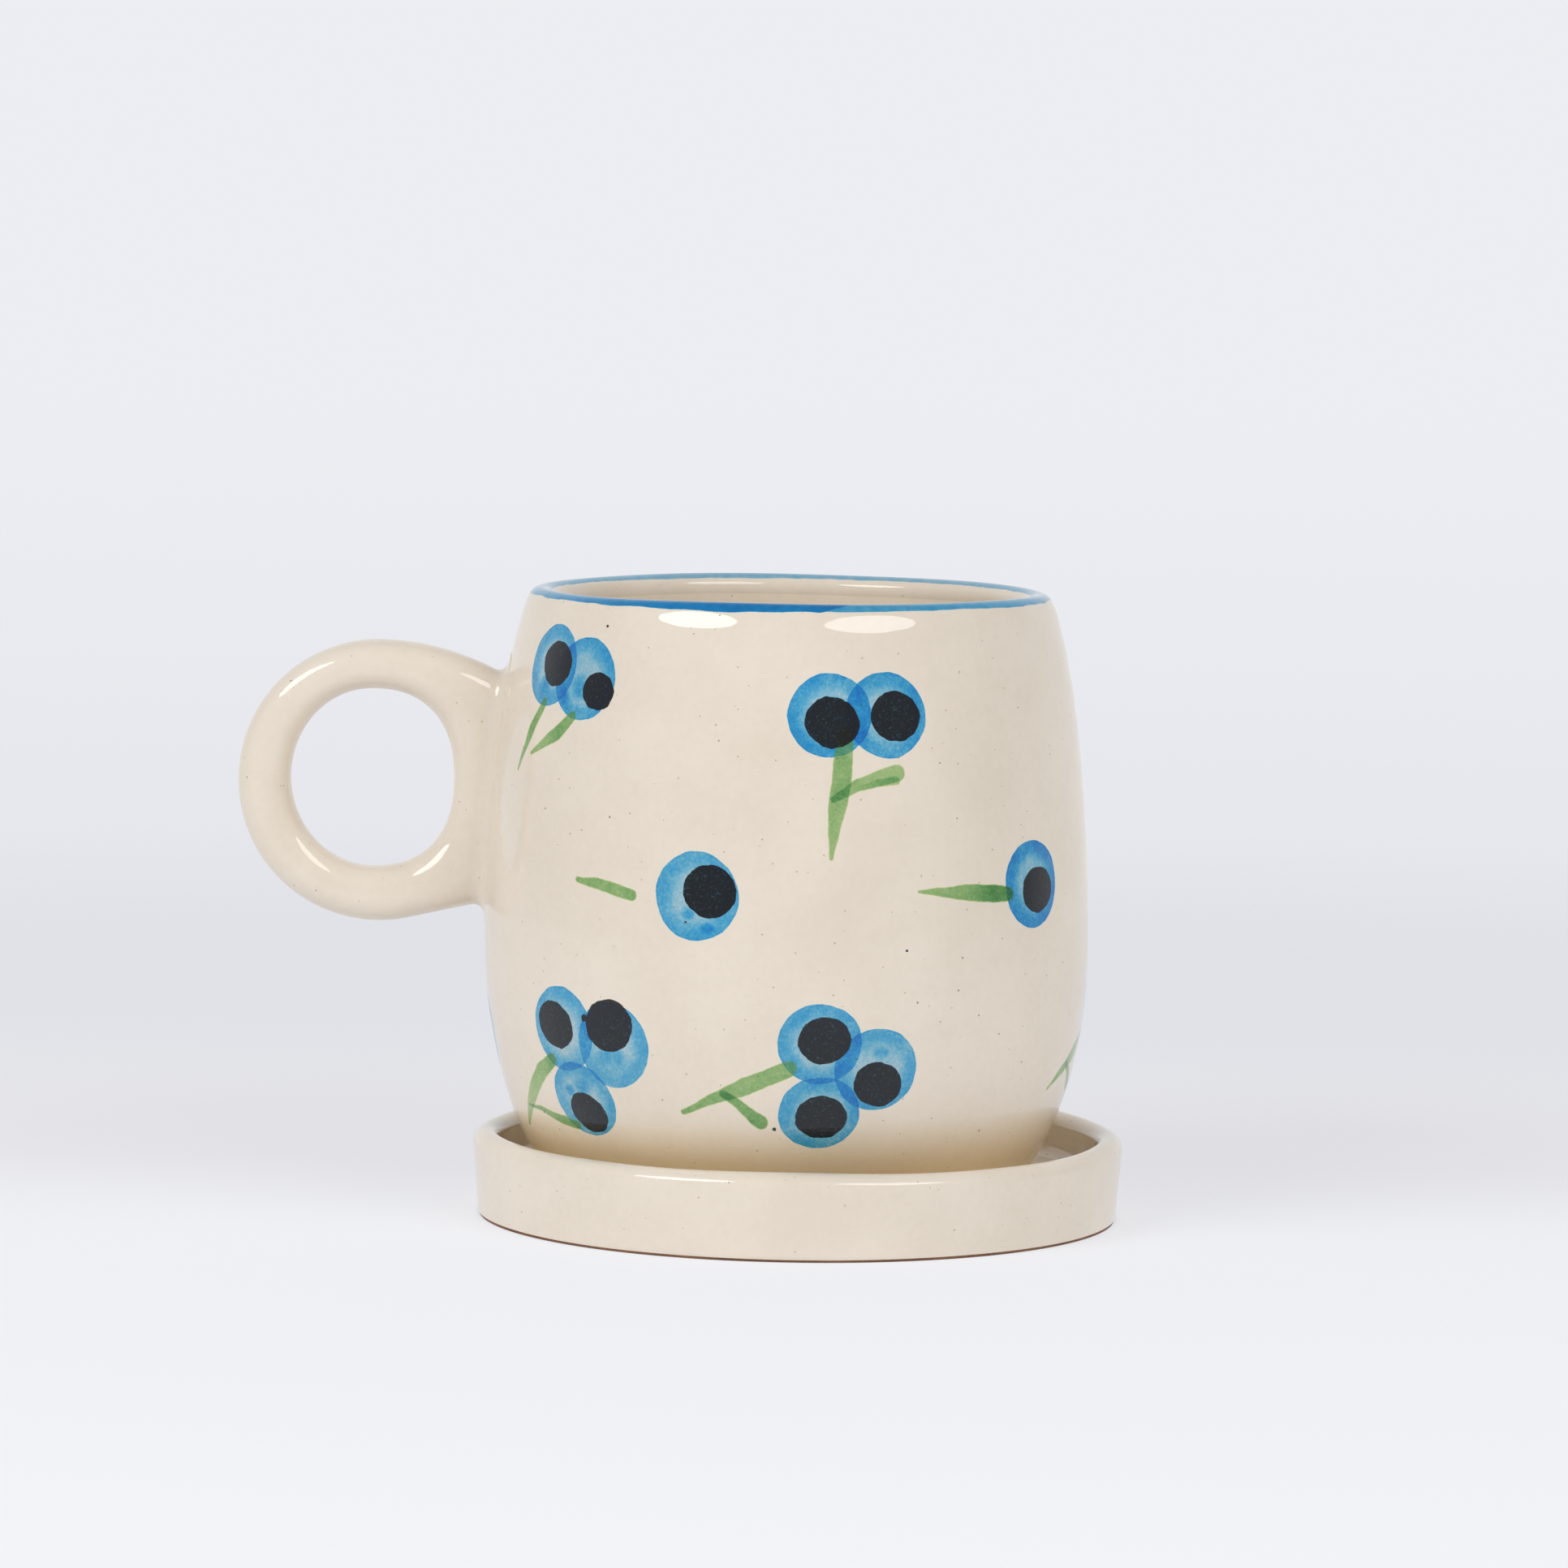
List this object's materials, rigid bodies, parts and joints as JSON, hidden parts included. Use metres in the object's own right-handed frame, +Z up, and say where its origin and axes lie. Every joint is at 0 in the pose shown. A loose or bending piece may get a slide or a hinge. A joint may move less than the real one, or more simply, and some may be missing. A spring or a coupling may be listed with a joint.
{
  "type": "stoneware mug with ring handle and saucer",
  "caption": "Barrel-shaped stoneware mug with a closed ring handle for one finger, painted with berries, standing in a shallow round saucer.",
  "frame": {"origin": "centre of the saucer's foot ring, on the plane that the saucer stands on", "axes": "+Z up out of the mug's mouth; the handle points along -X; the painted front faces -Y"},
  "size_m": [0.1295, 0.095, 0.0914],
  "materials": {
    "cream_glaze": "glossy cream glaze with fine brown specks",
    "saucer_glaze": "glossy cream glaze, with a bare dark clay foot",
    "slip": "glossy cream glaze over joining slip",
    "rim_blue": "glossy blue, brushed by hand",
    "berry_blue": "translucent blue under gloss, darker at its edges",
    "crown_black": "near black under gloss",
    "stem_green": "translucent green brush strokes under gloss"
  },
  "bodies": {
    "saucer": {"saucer": "saucer_glaze"},
    "mug": {"mug_body": "cream_glaze", "handle": "cream_glaze", "handle_slip": "slip", "rim_band": "rim_blue", "berry_paint": "berry_blue", "crown_paint": "crown_black", "stem_paint": "stem_green"}
  },
  "joints": [
    {"name": "mug_lift", "type": "slide", "parent": "saucer", "child": "mug", "axis": [0, 0, 1], "range_m": [0, 0.1]}
  ]
}
